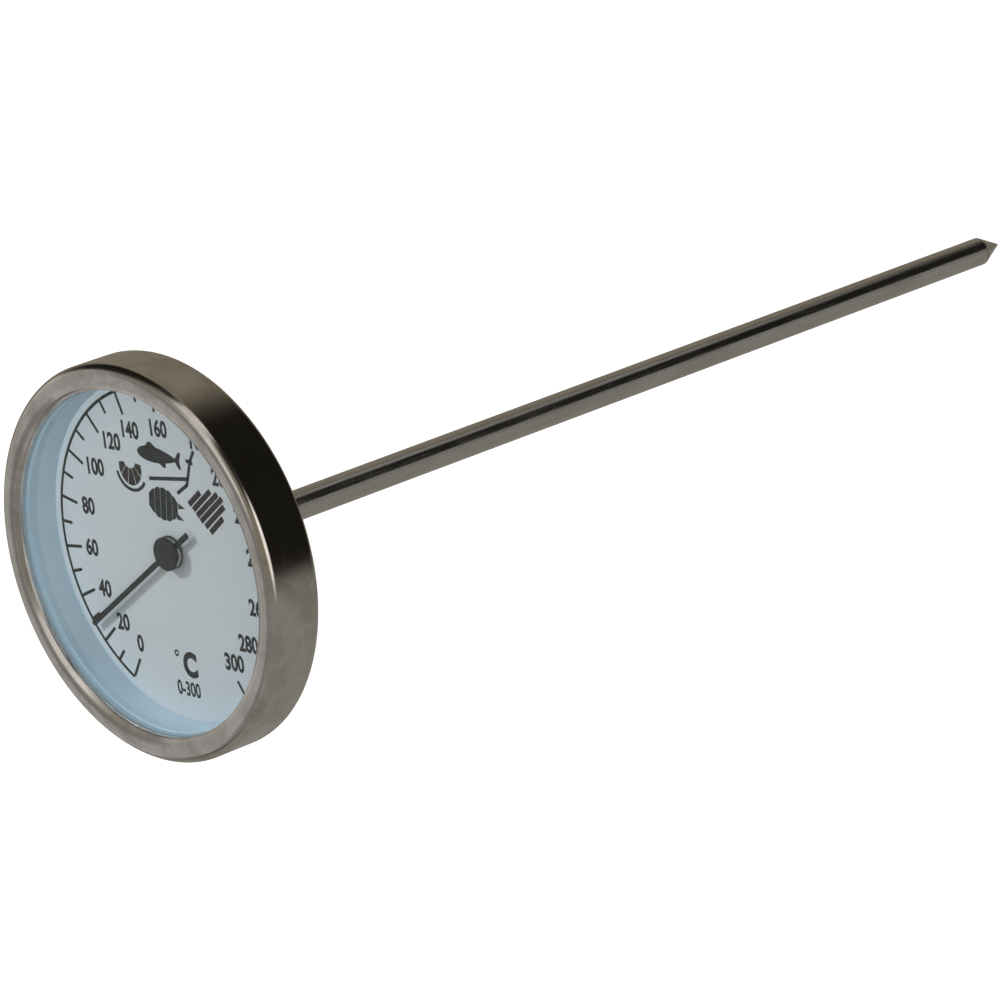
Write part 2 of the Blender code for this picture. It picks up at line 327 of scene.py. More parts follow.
def drawn_steel():
    """Stainless tube and rod with marks drawn along the stem."""
    look = Look("drawn_stainless", (0.62, 0.60, 0.56), 0.2, 1.0)
    lines = look.noise(look.place((5.0, 0.12, 5.0)), 1.2, 5.0, 0.65)
    smears = look.noise(look.place((1.0, 0.25, 1.0)), 0.35, 4.0, 0.6, 0.5)
    rings = look.noise(look.round_place(0.6, 4.0), 1.5, 3.0, 0.6)
    look.coloured(look.stepped(smears, 0.35, 0.7), (0.64, 0.615, 0.575), (0.565, 0.53, 0.485))
    blend = look.maths("ADD", look.maths("MULTIPLY", lines, 0.6), look.maths("MULTIPLY", smears, 0.4))
    look.rough(look.stepped(blend, 0.38, 0.64, 0.13, 0.26))
    look.bump(lines, 0.001)
    look.bump(rings, 0.0006)
    return look.material


def spun_steel():
    """The case's back: sheet with stronger turning marks."""
    look = Look("spun_stainless", (0.62, 0.60, 0.57), 0.26, 1.0)
    marks = look.noise(look.round_place(0.5, 16.0), 2.0, 4.0, 0.65)
    smears = look.noise(look.place(), 0.12, 3.0, 0.55, 0.2)
    look.coloured(look.stepped(smears, 0.3, 0.7), (0.635, 0.61, 0.58), (0.595, 0.565, 0.53))
    blend = look.maths("ADD", look.maths("MULTIPLY", marks, 0.8), look.maths("MULTIPLY", smears, 0.2))
    look.rough(look.stepped(blend, 0.38, 0.64, 0.2, 0.36))
    look.bump(marks, 0.0022)
    return look.material


def turned_brass():
    """Brass with fine turning marks, dulled in patches."""
    look = Look("turned_brass", (0.78, 0.60, 0.28), 0.28, 1.0)
    marks = look.noise(look.round_place(0.5, 14.0), 2.0, 4.0, 0.65)
    tarnish = look.noise(look.place(), 0.9, 4.0, 0.6, 0.4)
    look.coloured(look.stepped(tarnish, 0.35, 0.7), (0.79, 0.61, 0.29), (0.60, 0.44, 0.20))
    look.rough(look.stepped(tarnish, 0.3, 0.7, 0.22, 0.42))
    look.bump(marks, 0.0015)
    return look.material


def drawn_wire():
    """Grey steel wire with marks drawn along it."""
    look = Look("drawn_wire", (0.60, 0.60, 0.59), 0.3, 1.0)
    lines = look.noise(look.place((8.0, 0.1, 8.0)), 1.5, 4.0, 0.6)
    look.coloured(lines, (0.66, 0.66, 0.65), (0.50, 0.49, 0.47))
    look.rough(look.stepped(lines, 0.35, 0.65, 0.22, 0.4))
    look.bump(lines, 0.001)
    return look.material


def rolled_bimetal():
    """Rolled strip: bright alloy with a faint straw tint in patches."""
    look = Look("rolled_bimetal", (0.62, 0.56, 0.48), 0.3, 1.0)
    patches = look.noise(look.place(), 0.7, 4.0, 0.6, 0.5)
    marks = look.noise(look.round_place(0.4, 10.0), 2.5, 4.0, 0.6)
    look.coloured(look.stepped(patches, 0.35, 0.68), (0.66, 0.60, 0.52), (0.54, 0.44, 0.33))
    look.rough(look.stepped(marks, 0.35, 0.65, 0.22, 0.4))
    look.bump(marks, 0.001)
    return look.material


def pale_rubber():
    """Pale blue-grey silicone, matt and slightly grained."""
    look = Look("pale_rubber", (0.36, 0.47, 0.54), 0.6)
    grain = look.noise(look.place(), 3.0, 4.0, 0.7)
    look.coloured(look.stepped(grain, 0.3, 0.7), (0.33, 0.44, 0.51), (0.39, 0.50, 0.57))
    look.rough(look.stepped(grain, 0.3, 0.7, 0.5, 0.72))
    look.bump(grain, 0.006)
    return look.material


def pale_plastic():
    """Pale blue-grey moulded ring with a soft satin skin."""
    look = Look("pale_plastic", (0.53, 0.71, 0.83), 0.42)
    cloud = look.noise(look.place(), 0.12, 3.0, 0.5)
    grain = look.noise(look.place(), 4.0, 4.0, 0.65)
    look.coloured(look.stepped(cloud, 0.3, 0.7), (0.51, 0.70, 0.83), (0.57, 0.74, 0.85))
    look.rough(look.stepped(grain, 0.3, 0.7, 0.36, 0.5))
    look.bump(grain, 0.004)
    return look.material


def dial_paint():
    """Satin white enamel with a very fine orange peel."""
    look = Look("dial_paint", (0.70, 0.77, 0.83), 0.42)
    cloud = look.noise(look.place(), 0.1, 3.0, 0.5)
    peel = look.noise(look.place(), 2.2, 3.0, 0.5)
    specks = look.noise(look.place(), 9.0, 2.0, 0.5)
    look.coloured(look.stepped(cloud, 0.3, 0.7), (0.69, 0.765, 0.825), (0.715, 0.78, 0.835))
    look.rough(look.stepped(specks, 0.3, 0.7, 0.38, 0.5))
    look.bump(peel, 0.0008)
    look.bump(specks, 0.0002)
    return look.material


def printing_ink(name, colour, faded):
    """Screen-printed ink, a little thin in places."""
    look = Look(name, colour, 0.5)
    look.shader.inputs["Specular IOR Level"].default_value = 0.08
    cover = look.noise(look.place(), 4.5, 5.0, 0.7)
    look.coloured(look.stepped(cover, 0.42, 0.75), colour, faded)
    look.rough(look.stepped(cover, 0.3, 0.7, 0.42, 0.62))
    look.bump(cover, 0.002)
    return look.material


def pointer_paint():
    """Thin satin black on metal, with a slightly lighter worn skin."""
    look = Look("pointer_paint", (0.02, 0.024, 0.02), 0.4)
    look.shader.inputs["Specular IOR Level"].default_value = 0.1
    skin = look.noise(look.place(), 1.6, 2.0, 0.5)
    look.coloured(look.stepped(skin, 0.4, 0.8), (0.002, 0.004, 0.002), (0.010, 0.013, 0.010))
    look.rough(look.stepped(skin, 0.3, 0.7, 0.38, 0.55))
    look.bump(skin, 0.0012)
    return look.material


def bush_finish():
    """Bright turned metal on the neck, black paint on the foot beyond it."""
    look = Look("bush_finish", (0.02, 0.02, 0.02), 0.4)
    radius = look.cylindrical()[1]
    bare_to, painted_from = 1.93, 1.99
    paint = look.stepped(radius, bare_to, painted_from)
    marks = look.noise(look.round_place(0.5, 14.0), 2.0, 4.0, 0.65)
    look.coloured(paint, (0.62, 0.61, 0.59), (0.004, 0.005, 0.004))
    look.link(look.maths("SUBTRACT", 1.0, paint), look.shader.inputs["Metallic"])
    look.rough(look.stepped(marks, 0.3, 0.7, 0.3, 0.5))
    look.bump(marks, 0.002)
    return look.material


def pressed_fibre():
    """Pale matt fibre board with its fibres showing."""
    look = Look("pressed_fibre", (0.72, 0.71, 0.66), 0.8)
    fibres = look.noise(look.place((1.0, 3.0, 1.0)), 3.0, 6.0, 0.75, 1.2)
    look.coloured(look.stepped(fibres, 0.35, 0.68), (0.76, 0.745, 0.70), (0.60, 0.575, 0.51))
    look.rough(look.stepped(fibres, 0.3, 0.7, 0.7, 0.9))
    look.bump(fibres, 0.02)
    return look.material


def window_glass():
    """Clear flat glass. Lamps shine through it, so that it doesn't black out the dial."""
    look = Look("window_glass", (0.97, 0.985, 0.985), 0.015)
    look.shader.inputs["Transmission Weight"].default_value = 1.0
    look.shader.inputs["IOR"].default_value = 1.5
    look.shader.inputs["Specular Tint"].default_value = (0.12, 0.12, 0.12, 1.0)
    haze = look.noise(look.place(), 0.15, 3.0, 0.5, 0.5)
    look.coloured(look.stepped(haze, 0.35, 0.7), (0.98, 0.99, 0.99), (0.955, 0.975, 0.975))
    path = look.node("ShaderNodeLightPath")
    clear = look.node("ShaderNodeBsdfTransparent")
    clear.inputs["Color"].default_value = (0.965, 0.98, 0.98, 1.0)
    seen = look.shader.outputs[0]
    for ray in ("Is Shadow Ray", "Is Diffuse Ray"):
        mixed = look.node("ShaderNodeMixShader")
        look.link(path.outputs[ray], mixed.inputs[0])
        look.link(seen, mixed.inputs[1])
        look.link(clear.outputs[0], mixed.inputs[2])
        seen = mixed.outputs[0]
    look.link(seen, look.tree.nodes["Material Output"].inputs["Surface"])
    return look.material


STEEL = polished_steel()
STEM_STEEL = drawn_steel()
BACK_STEEL = spun_steel()
BRASS = turned_brass()
WIRE = drawn_wire()
BIMETAL = rolled_bimetal()
RUBBER = pale_rubber()
SPACER = pale_plastic()
PAINT = dial_paint()
INK = printing_ink("black_ink", (0.003, 0.006, 0.0045), (0.010, 0.017, 0.014))
BROWN_INK = printing_ink("brown_ink", (0.012, 0.008, 0.005), (0.036, 0.027, 0.018))
POINTER_PAINT = pointer_paint()
BUSH_FINISH = bush_finish()
FIBRE = pressed_fibre()
GLASS = window_glass()


# The case

LIP_RADIUS = 22.6
LIP_DROP = 0.4
HEM_WIDTH = 0.5
HEM_DEPTH = 0.55
HEM_FILLET = 0.13
FACE_RADIUS = 24.3
FACE_CURVE = 3.2
CURL_RADIUS = 24.5
CORNER_WIDTH = 1.5
CORNER_DEPTH = 1.0


def make_bezel():
    """Ring pressed from one sheet: a hemmed lip, the side wall and a curl at the back."""
    lip_front = FRONT + LIP_DROP
    front_centre = (CASE_RADIUS - CORNER_WIDTH, FRONT + CORNER_DEPTH)
    back_centre = (CASE_RADIUS - CORNER_DEPTH, -CORNER_DEPTH)
    hem_back = lip_front + HEM_DEPTH
    hem_middle = LIP_RADIUS + HEM_FILLET
    hem_outer = LIP_RADIUS + HEM_WIDTH
    outside = [(hem_outer, lip_front + HEM_DEPTH / 2), (hem_outer - 0.1, hem_back)]
    outside += arc((hem_middle, hem_back - HEM_FILLET), HEM_FILLET, HEM_FILLET, 90, 180, 6)
    outside += arc((hem_middle, lip_front + HEM_FILLET), HEM_FILLET, HEM_FILLET, 180, 262, 8)
    outside += arc((FACE_RADIUS, FRONT + FACE_CURVE), FACE_CURVE, FACE_CURVE, -115, -90, 12)
    outside += arc(front_centre, CORNER_WIDTH, CORNER_DEPTH, -90, 0, 28)
    outside += arc(back_centre, CORNER_DEPTH, CORNER_DEPTH, 0, 90, 16)
    outside += arc((CURL_RADIUS, -SHEET / 2), -SHEET / 2, SHEET / 2, 90, -90, 8)
    inside = arc(back_centre, CORNER_DEPTH - SHEET, CORNER_DEPTH - SHEET, 90, 0, 8)
    inside += arc(front_centre, CORNER_WIDTH - SHEET, CORNER_DEPTH - SHEET, 0, -90, 8)
    inside += [(FACE_RADIUS, FRONT + SHEET + 0.02)]
    bm = revolve(outside + inside, FINE_STEPS)
    add_piece("bezel", bm, STEEL, "case_steel", CASE_BODY, "bezel_ring")


def make_gasket():
    """Seal between the lip and the glass, with a shadow gap under the lip."""
    low, high = cad_box("lens_gasket")
    shadow_gap = 0.2
    inner = LIP_RADIUS - SEAM
    front = low.y + shadow_gap
    step = LIP_RADIUS + HEM_WIDTH + SIDE_GAP
    corners = [
        (inner, front, 0.12),
        (step, front, 0.05),
        (step, low.y, 0.05),
        (high.x, low.y, 0.05),
        (high.x, high.y, 0.05),
        (inner, high.y, 0.1),
    ]
    turned("gasket", corners, RUBBER, "seal_rubber", CASE_BODY, "lens_gasket")


def make_window():
    """Flat glass with ground edges."""
    low, high = cad_box("lens")
    corners = [(0, low.y, 0), (high.x, low.y, 0.15), (high.x, high.y, 0.15), (0, high.y, 0)]
    turned("window", corners, GLASS, "window_glass", CASE_BODY, "lens")


def make_spacer():
    """Pale wall between the glass and the dial, with a small foot radius."""
    low, high = cad_box("spacer_ring")
    inner = LIP_RADIUS - 2 * SEAM
    corners = [(inner, low.y, 0.2), (high.x, low.y, 0.1), (high.x, high.y, 0.1), (inner, high.y, 0.12)]
    turned("spacer", corners, SPACER, "spacer_plastic", CASE_BODY, "spacer_ring")


def make_dial():
    """The dial's disc, with a hole in its middle for the spindle."""
    hole = 1.2
    corners = [
        (hole, DIAL_FACE, 0.06),
        (DIAL_RADIUS, DIAL_FACE, 0.06),
        (DIAL_RADIUS, DIAL_BACK, 0.04),
        (hole, DIAL_BACK, 0.04),
    ]
    turned("dial", corners, PAINT, "dial_paint", CASE_BODY, "dial_plate")


def make_cup():
    """The pan behind the bezel: a stepped back with a raised boss round the stem."""
    low, high = cad_box("case_cup")
    hole = STEM_RADIUS + SIDE_GAP
    boss_radius = 6.0
    boss_foot = boss_radius + high.y
    step = CURL_RADIUS - SIDE_GAP
    shoulder = -SHEET - SIDE_GAP
    inner = high.x - SHEET
    corners = [
        (hole, high.y, 0.08),
        (boss_radius, high.y, 0.3),
        (boss_foot, 0, 0.3),
        (step, 0, 0.25),
        (step, shoulder, 0.1),
        (high.x, shoulder, 0.8),
        (high.x, low.y, 0.08),
        (inner, low.y, 0.08),
        (inner, shoulder - SHEET, 0.4),
        (step - SHEET, shoulder - SHEET, 0.1),
        (step - SHEET, -SHEET, 0.1),
        (boss_foot - 0.2, -SHEET, 0.2),
        (boss_radius - 0.2, high.y - SHEET, 0.2),
        (hole, high.y - SHEET, 0.08),
    ]
    turned("cup", corners, BACK_STEEL, "case_steel", CASE_BODY, "case_cup")


# The stem


def make_washer():
    """Seal between the case's back and the collar."""
    low, high = cad_box("stem_washer")
    bore = STEM_RADIUS + SIDE_GAP
    corners = [(bore, low.y, 0.05), (high.x, low.y, 0.12), (high.x, high.y, 0.12), (bore, high.y, 0.05)]
    turned("washer", corners, FIBRE, "seal_fibre", CASE_BODY, "stem_washer", steps=SMALL_STEPS)


def make_collar():
    """Shoulder behind the case: a flange, a groove and a neck with a chamfered end."""
    low, high = cad_box("stem_collar")
    bore = STEM_RADIUS + SEAM
    neck = 1.45 * STEM_RADIUS
    flange_end = low.y + 1.2
    corners = [
        (bore, low.y, 0.05),
        (high.x, low.y, 0.25),
        (high.x, flange_end, 0.2),
        (neck - 0.15, flange_end, 0.1),
        (neck - 0.15, flange_end + 0.4, 0.1),
        (neck, flange_end + 0.55, 0.1),
        (neck, high.y - 0.5, 0.12),
        (neck - 0.5, high.y, 0.12),
        (bore, high.y, 0.05),
    ]
    turned("collar", corners, STEM_STEEL, "stem_steel", CASE_BODY, "stem_collar", steps=SMALL_STEPS)


def make_tube():
    """The stem's tube, in short lengths so that long thin faces don't show."""
    low, high = cad_box("stem_tube")
    bore = STEM_RADIUS - SHEET
    lengths = 40
    outside = [(STEM_RADIUS, low.y + (high.y - low.y) * i / lengths, 0.06) for i in range(lengths + 1)]
    corners = [(bore, low.y, 0.06)] + outside + [(bore, high.y, 0.06)]
    turned("tube", corners, STEM_STEEL, "stem_steel", CASE_BODY, "stem_tube", steps=SMALL_STEPS)


def make_tip():
    """Conical point, with a fine seam where it meets the tube."""
    low, high = cad_box("stem_tip")
    shoulder = cad_box("stem_tube")[1].y + SEAM
    plug = STEM_RADIUS - SHEET - SIDE_GAP
    nose = 0.14
    corners = [
        (0, low.y, 0),
        (plug, low.y, 0.2),
        (plug, shoulder, 0.02),
        (STEM_RADIUS, shoulder, 0.05),
        (STEM_RADIUS, shoulder + 0.12, 0.2),
        (nose, high.y - nose, 0.12),
        (0, high.y, 0),
    ]
    turned("tip", corners, STEM_STEEL, "stem_steel", CASE_BODY, "stem_tip", steps=SMALL_STEPS)


# The works inside the stem


def make_coil():
    """The bimetal coil, which winds up between the pointer's spindle and its fixed lower end."""
    low, high = cad_box("bimetal_helix")
    strip_width = 1.3
    strip_thickness = 0.2
    turns = 16
    steps_per_turn = 36
    mean_radius = high.x - strip_thickness / 2
    climb = (high.y - low.y - strip_width) / (turns * steps_per_turn)
    section = [(-0.5, 0.03), (-0.4, 0), (0.4, 0), (0.5, 0.03)]
    section += [(0.5, 0.97), (0.4, 1), (-0.4, 1), (-0.5, 0.97)]
    bm = bmesh.new()
    loops = []
    for i in range(turns * steps_per_turn + 1):
        angle = 2 * math.pi * i / steps_per_turn
        corners = []
        for across, along in section:
            radius = mean_radius + across * strip_thickness
            y = low.y + climb * i + along * strip_width
            corners.append(bm.verts.new((radius * math.sin(angle), y, radius * math.cos(angle))))
        loops.append(corners)
    for here, there in zip(loops, loops[1:]):
        for i in range(len(section)):
            j = (i + 1) % len(section)
            bm.faces.new((here[i], here[j], there[j], there[i]))
    bm.faces.new(loops[0])
    bm.faces.new(loops[-1][::-1])
    coil = solid("coil", bm, BIMETAL)
    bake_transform(coil)
    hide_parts("bimetal_helix")


def finish_carried_nodes():
    """The hidden works keep their CAD shape and get finer finishes."""
    finishes = {
        "stem_nut": BRASS,
        "top_bearing": BRASS,
        "spindle_guide_1": BRASS,
        "spindle_guide_2": BRASS,
        "helix_anchor": BRASS,
        "helix_ferrule": BRASS,
        "spindle": WIRE,
    }
    for name, material in finishes.items():
        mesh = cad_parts[name].data
        mesh.materials.clear()
        mesh.materials.append(material)


# The pointer

HUB_RADIUS = 2.2
EYE_RADIUS = 1.54
NECK_RADIUS = 1.9
SPINDLE_BORE = 0.5


def make_boss():
    """Black disc with a rounded edge, bored from behind for the spindle's end."""
    low, high = cad_box("pointer_boss")
    bore_end = low.y + SEAM
    corners = [
        (0, low.y, 0),
        (HUB_RADIUS, low.y, 0.18),
        (HUB_RADIUS, high.y, 0.05),
        (SPINDLE_BORE, high.y, 0.03),
        (SPINDLE_BORE, bore_end, 0.02),
        (0, bore_end, 0),
    ]
    turned("boss", corners, POINTER_PAINT, "pointer_black", POINTER_BODY, "pointer_boss", steps=SMALL_STEPS)


def blade_half(reach, tail):
    """One side of the blade's outline from its tip to its tail, as (distance, half width) points."""
    side = [(reach, 0.24), (reach - 0.25, 0.38), (reach - 4.0, 0.34)]
    for degrees in range(12, 169, 12):
        angle = math.radians(degrees)
        side.append((EYE_RADIUS * math.cos(angle), EYE_RADIUS * math.sin(angle)))
    return side + [(-tail + 0.1, 0.40), (-tail, 0.30)]


def make_blade():
    """Straight strip, slightly wider at its tip, with a round eye and a short tail."""
    low, high = cad_box("pointer_blade")
    points = [Vector((v.co.x, v.co.z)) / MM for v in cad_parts["pointer_blade"].data.vertices]
    along = max(points, key=lambda p: p.length).normalized()
    across = Vector((along.y, -along.x))
    reach = max(p.dot(along) for p in points)
    tail = -min(p.dot(along) for p in points)
    side = blade_half(reach, tail)
    outline = side + [(distance, -width) for distance, width in reversed(side)]
    bm = bmesh.new()
    prism(bm, [tuple(along * d + across * w) for d, w in outline], low.y, high.y)
    rims = [edge for edge in bm.edges if edge.verts[0].co.y == edge.verts[1].co.y]
    bmesh.ops.bevel(bm, geom=rims, offset=0.04, segments=2, affect="EDGES")
    add_piece("blade", bm, POINTER_PAINT, "pointer_black", POINTER_BODY, "pointer_blade")


def make_bush():
    """Collar under the blade: a bare neck and a wider foot just clear of the dial."""
    low, high = cad_box("pointer_bush")
    foot = high.y - 0.2
    corners = [
        (SPINDLE_BORE, low.y, 0.02),
        (NECK_RADIUS, low.y, 0.04),
        (NECK_RADIUS, foot, 0.03),
        (HUB_RADIUS, foot, 0.05),
        (HUB_RADIUS, high.y, 0.05),
        (SPINDLE_BORE, high.y, 0.02),
    ]
    turned("bush", corners, BUSH_FINISH, "pointer_black", POINTER_BODY, "pointer_bush", steps=SMALL_STEPS)


# The dial's print

INK_FRONT = DIAL_FACE - 0.02
INK_BACK = DIAL_FACE + 0.02
LINE_WIDTH = 0.42
SCALE_TOP = 300
SCALE_ARC_RADIUS = 21.4
LONG_TICK_END = 18.3
SHORT_TICK_END = 19.5
NUMBER_RADIUS = 16.2
NUMBER_HEIGHT = 2.35
# Millimetres by which the artwork sets some numbers outwards, and degrees clockwise of their ticks.
NUMBER_SHIFTS = {180: 1.1, 200: -0.3}
NUMBER_TURNS = {
    0: 2.5, 20: -1.4, 40: -1.5, 80: 1.5, 100: 4.4, 120: 5.0, 140: 1.1, 160: 1.4,
    180: 6.7, 200: 5.0, 220: 4.0, 240: 2.5, 260: 4.4, 280: 3.2, 300: -3.8,
}


def scale_angle(temperature):
    """The dial angle of a temperature. The scale opens out a little towards its hot end."""
    share = temperature / SCALE_TOP
    return -149 + 258 * share + 40 * share * share


def on_dial(angle_deg, radius):
    angle = math.radians(angle_deg)
    return Vector((radius * math.sin(angle), radius * math.cos(angle)))


def print_line(bm, start, end, width=LINE_WIDTH):
    """A straight printed line between two (x, z) points."""
    start, end = Vector(start), Vector(end)
    along = (end - start).normalized()
    side = Vector((along.y, -along.x)) * width / 2
    outline = [start - side, start + side, end + side, end - side]
    prism(bm, [tuple(p) for p in outline], INK_FRONT, INK_BACK)


def print_path(bm, points, width=LINE_WIDTH):
    """A printed line through several points, mitred at its bends."""
    points = [Vector(p) for p in points]
    left, right = [], []
    for i, point in enumerate(points):
        before = (point - points[i - 1]).normalized() if i else (points[1] - point).normalized()
        after = (points[i + 1] - point).normalized() if i + 1 < len(points) else before
        along = (before + after).normalized()
        side = Vector((along.y, -along.x)) * (width / 2 / max(0.3, along.dot(before)))
        left.append(point - side)
        right.append(point + side)
    prism(bm, [tuple(p) for p in left + right[::-1]], INK_FRONT, INK_BACK)


def print_text(bm, text, centre, height, squeeze=0.8, weight=0.034):
    """Upright condensed lettering of Blender's own font, centred on an (x, z) point."""
    curve = bpy.data.curves.new("lettering", "FONT")
    curve.body = text
    curve.size = 1.0
    curve.offset = weight
    curve.extrude = 0.5
    curve.resolution_u = 6
    holder = bpy.data.objects.new("lettering", curve)
    bpy.context.scene.collection.objects.link(holder)
    bpy.context.view_layer.update()
    mesh = bpy.data.meshes.new_from_object(holder.evaluated_get(bpy.context.evaluated_depsgraph_get()))
    xs = [v.co.x for v in mesh.vertices]
    ys = [v.co.y for v in mesh.vertices]
    middle = Vector(((min(xs) + max(xs)) / 2, (min(ys) + max(ys)) / 2))
    scale = height / (max(ys) - min(ys))
    for vertex in mesh.vertices:
        x = centre[0] + (vertex.co.x - middle.x) * scale * squeeze
        z = centre[1] + (vertex.co.y - middle.y) * scale
        y = INK_FRONT if vertex.co.z > 0 else INK_BACK
        vertex.co = (x, y, z)
    bm.from_mesh(mesh)
    bpy.data.objects.remove(holder)
    bpy.data.curves.remove(curve)
    bpy.data.meshes.remove(mesh)


def print_scale(bm):
    """The scale's arc, its ticks every 10 degrees and its numbers every 20."""
    steps = 180
    first, last = scale_angle(0), scale_angle(SCALE_TOP)
    angles = [first + (last - first) * i / steps for i in range(steps + 1)]
    outer = [on_dial(a, SCALE_ARC_RADIUS + LINE_WIDTH / 2) for a in angles]
    inner = [on_dial(a, SCALE_ARC_RADIUS - LINE_WIDTH / 2) for a in angles]
    prism(bm, [tuple(p) for p in outer + inner[::-1]], INK_FRONT, INK_BACK)
    for temperature in range(0, SCALE_TOP + 1, 10):
        angle = scale_angle(temperature)
        numbered = temperature % 20 == 0
        tick_end = LONG_TICK_END if numbered else SHORT_TICK_END
        print_line(bm, on_dial(angle, SCALE_ARC_RADIUS - LINE_WIDTH / 2), on_dial(angle, tick_end))
        if numbered:
            radius = NUMBER_RADIUS + NUMBER_SHIFTS.get(temperature, 0)
            centre = on_dial(angle + NUMBER_TURNS.get(temperature, 0), radius)
            print_text(bm, str(temperature), centre, NUMBER_HEIGHT)


def ellipse(centre, half_width, half_height, steps=24, start=0, end=360):
    """Points of an ellipse, or of part of one, anticlockwise from +X."""
    closed = end - start == 360
    count = steps if closed else steps + 1
    angles = [math.radians(start + (end - start) * i / steps) for i in range(count)]
    return [(centre[0] + half_width * math.cos(a), centre[1] + half_height * math.sin(a)) for a in angles]


def print_shape(bm, outline):
    prism(bm, outline, INK_FRONT, INK_BACK)


def print_unit(bm):
    """The unit under the hub, with the scale's span below it."""
    print_text(bm, "C", (0.5, -14.95), 3.5, squeeze=0.86, weight=0.05)
    print_path(bm, ellipse((-1.9, -13.7), 0.3, 0.34, 16, 0, 345), 0.24)
    print_text(bm, "0-300", (-0.4, -18.3), 2.0, squeeze=0.72, weight=0.025)


def turned_about(points, centre, degrees):
    """Points turned anticlockwise about a centre."""
    c, s = math.cos(math.radians(degrees)), math.sin(math.radians(degrees))
    moved = []
    for x, z in points:
        dx, dz = x - centre[0], z - centre[1]
        moved.append((centre[0] + dx * c - dz * s, centre[1] + dx * s + dz * c))
    return moved


def print_fish(bm):
    """A plain side view of a fish: blunt body, two fins and an upright tail."""
    centre = (-0.6, 12.5)
    length, depth = 7.6, 2.2
    upper, lower = [], []
    for i in range(21):
        share = i / 20
        half = depth / 2 * math.sin(math.pi * share ** 0.72) ** 0.7
        x = centre[0] + length * (share - 0.5)
        upper.append((x, centre[1] + half))
        lower.append((x, centre[1] - 0.92 * half))
    body = upper + lower[-2:0:-1]
    root = centre[0] + length / 2 - 0.35
    tail = [(root, 12.75), (root + 0.75, 13.75), (root + 1.15, 13.6), (root + 0.8, 12.5)]
    tail += [(root + 1.05, 11.5), (root + 0.65, 11.4), (root, 12.25)]
    fin = [(-3.0, 13.2), (-2.1, 14.15), (-1.5, 14.1), (-0.4, 13.3)]
    belly = [(-0.6, 11.75), (0.5, 11.15), (0.95, 11.2), (1.0, 11.8)]
    for shape in (body, tail, fin, belly):
        print_shape(bm, turned_about(shape, centre, -3))


def print_croissant(bm):
    """A crescent of dough in slices, open upwards."""
    outer_centre, inner_centre = (-6.2, 10.3), (-6.2, 11.15)
    slices = 5
    gap = 1.5
    for i in range(slices):
        outer_start, outer_end = 166 + 41.6 * i + gap, 166 + 41.6 * (i + 1) - gap
        inner_start, inner_end = 190 + 32 * i + gap, 190 + 32 * (i + 1) - gap
        outer = ellipse(outer_centre, 2.15, 2.4, 6, outer_start, outer_end)
        inner = ellipse(inner_centre, 1.1, 1.0, 6, inner_start, inner_end)
        print_shape(bm, outer + inner[::-1])


def print_plate(bm):
    """The thin plate rim under the croissant."""
    print_path(bm, ellipse((-6.1, 9.9), 2.75, 2.6, 20, 188, 330), 0.45)


def print_rack(bm):
    """A roasting rack: one shelf, its upright and a slanted foot."""
    print_line(bm, (-2.7, 9.3), (4.9, 10.15), 0.5)
    print_path(bm, [(6.65, 14.0), (5.65, 12.4), (4.95, 10.3), (4.55, 9.3), (2.5, 8.0)], 0.48)
    print_line(bm, (4.95, 12.6), (6.2, 12.3), 0.5)


def print_roast(bm):
    """A tied joint of meat: slices side by side, with two short picks."""
    centre = (-0.55, 6.15)
    half_width, half_height = 2.75, 2.1
    slices, gap, steps = 5, 0.06, 6
    pitch = 2 * half_width / slices
    for i in range(slices):
        top, bottom = [], []
        for step in range(steps + 1):
            share = step / steps
            across = -half_width + i * pitch + gap / 2 + (pitch - gap) * share
            crown = half_height * math.sqrt(max(0.2, 1 - (across / half_width) ** 2))
            crown += 0.18 * math.sin(math.pi * share)
            top.append((centre[0] + across, centre[1] + crown))
            bottom.append((centre[0] + across, centre[1] - 0.95 * crown))
        print_shape(bm, turned_about(top + bottom[::-1], centre, -8))
    print_shape(bm, [(2.35, 6.7), (3.6, 6.1), (2.3, 5.9)])
    print_shape(bm, [(2.1, 5.2), (3.1, 4.4), (1.7, 4.5)])


def print_chips(bm):
    """A bundle of potato chips lying at a slant."""
    sticks = (
        ((4.5, 6.8), (6.9, 8.7)),
        ((5.2, 6.2), (8.9, 9.1)),
        ((5.8, 5.5), (10.2, 8.9)),
        ((6.4, 4.85), (11.0, 8.4)),
        ((7.2, 4.25), (11.2, 7.4)),
        ((8.0, 3.6), (10.7, 5.8)),
    )
    for start, end in sticks:
        print_line(bm, start, end, 0.76)


def make_print():
    """Everything printed on the dial, in two inks."""
    black = bmesh.new()
    print_scale(black)
    print_unit(black)
    print_fish(black)
    print_plate(black)
    print_rack(black)
    print_roast(black)
    add_piece("dial_print", black, INK, "dial_paint", CASE_BODY)
    brown = bmesh.new()
    print_croissant(brown)
    print_chips(brown)
    add_piece("dial_print_brown", brown, BROWN_INK, "dial_paint", CASE_BODY)


# Studio


def direction(azimuth_deg, elevation_deg):
    """A unit direction. Azimuth 0 is the way the dial faces and turns towards +X."""
    azimuth, elevation = math.radians(azimuth_deg), math.radians(elevation_deg)
    level = math.cos(elevation)
    return Vector((math.sin(azimuth) * level, -math.cos(azimuth) * level, math.sin(elevation)))


ROOM = (0.25, 0.225, 0.18)
TABLE = (0.285, 0.275, 0.25)
DARK = (0.012, 0.011, 0.009)
WINDOW = (0.80, 0.78, 0.75)
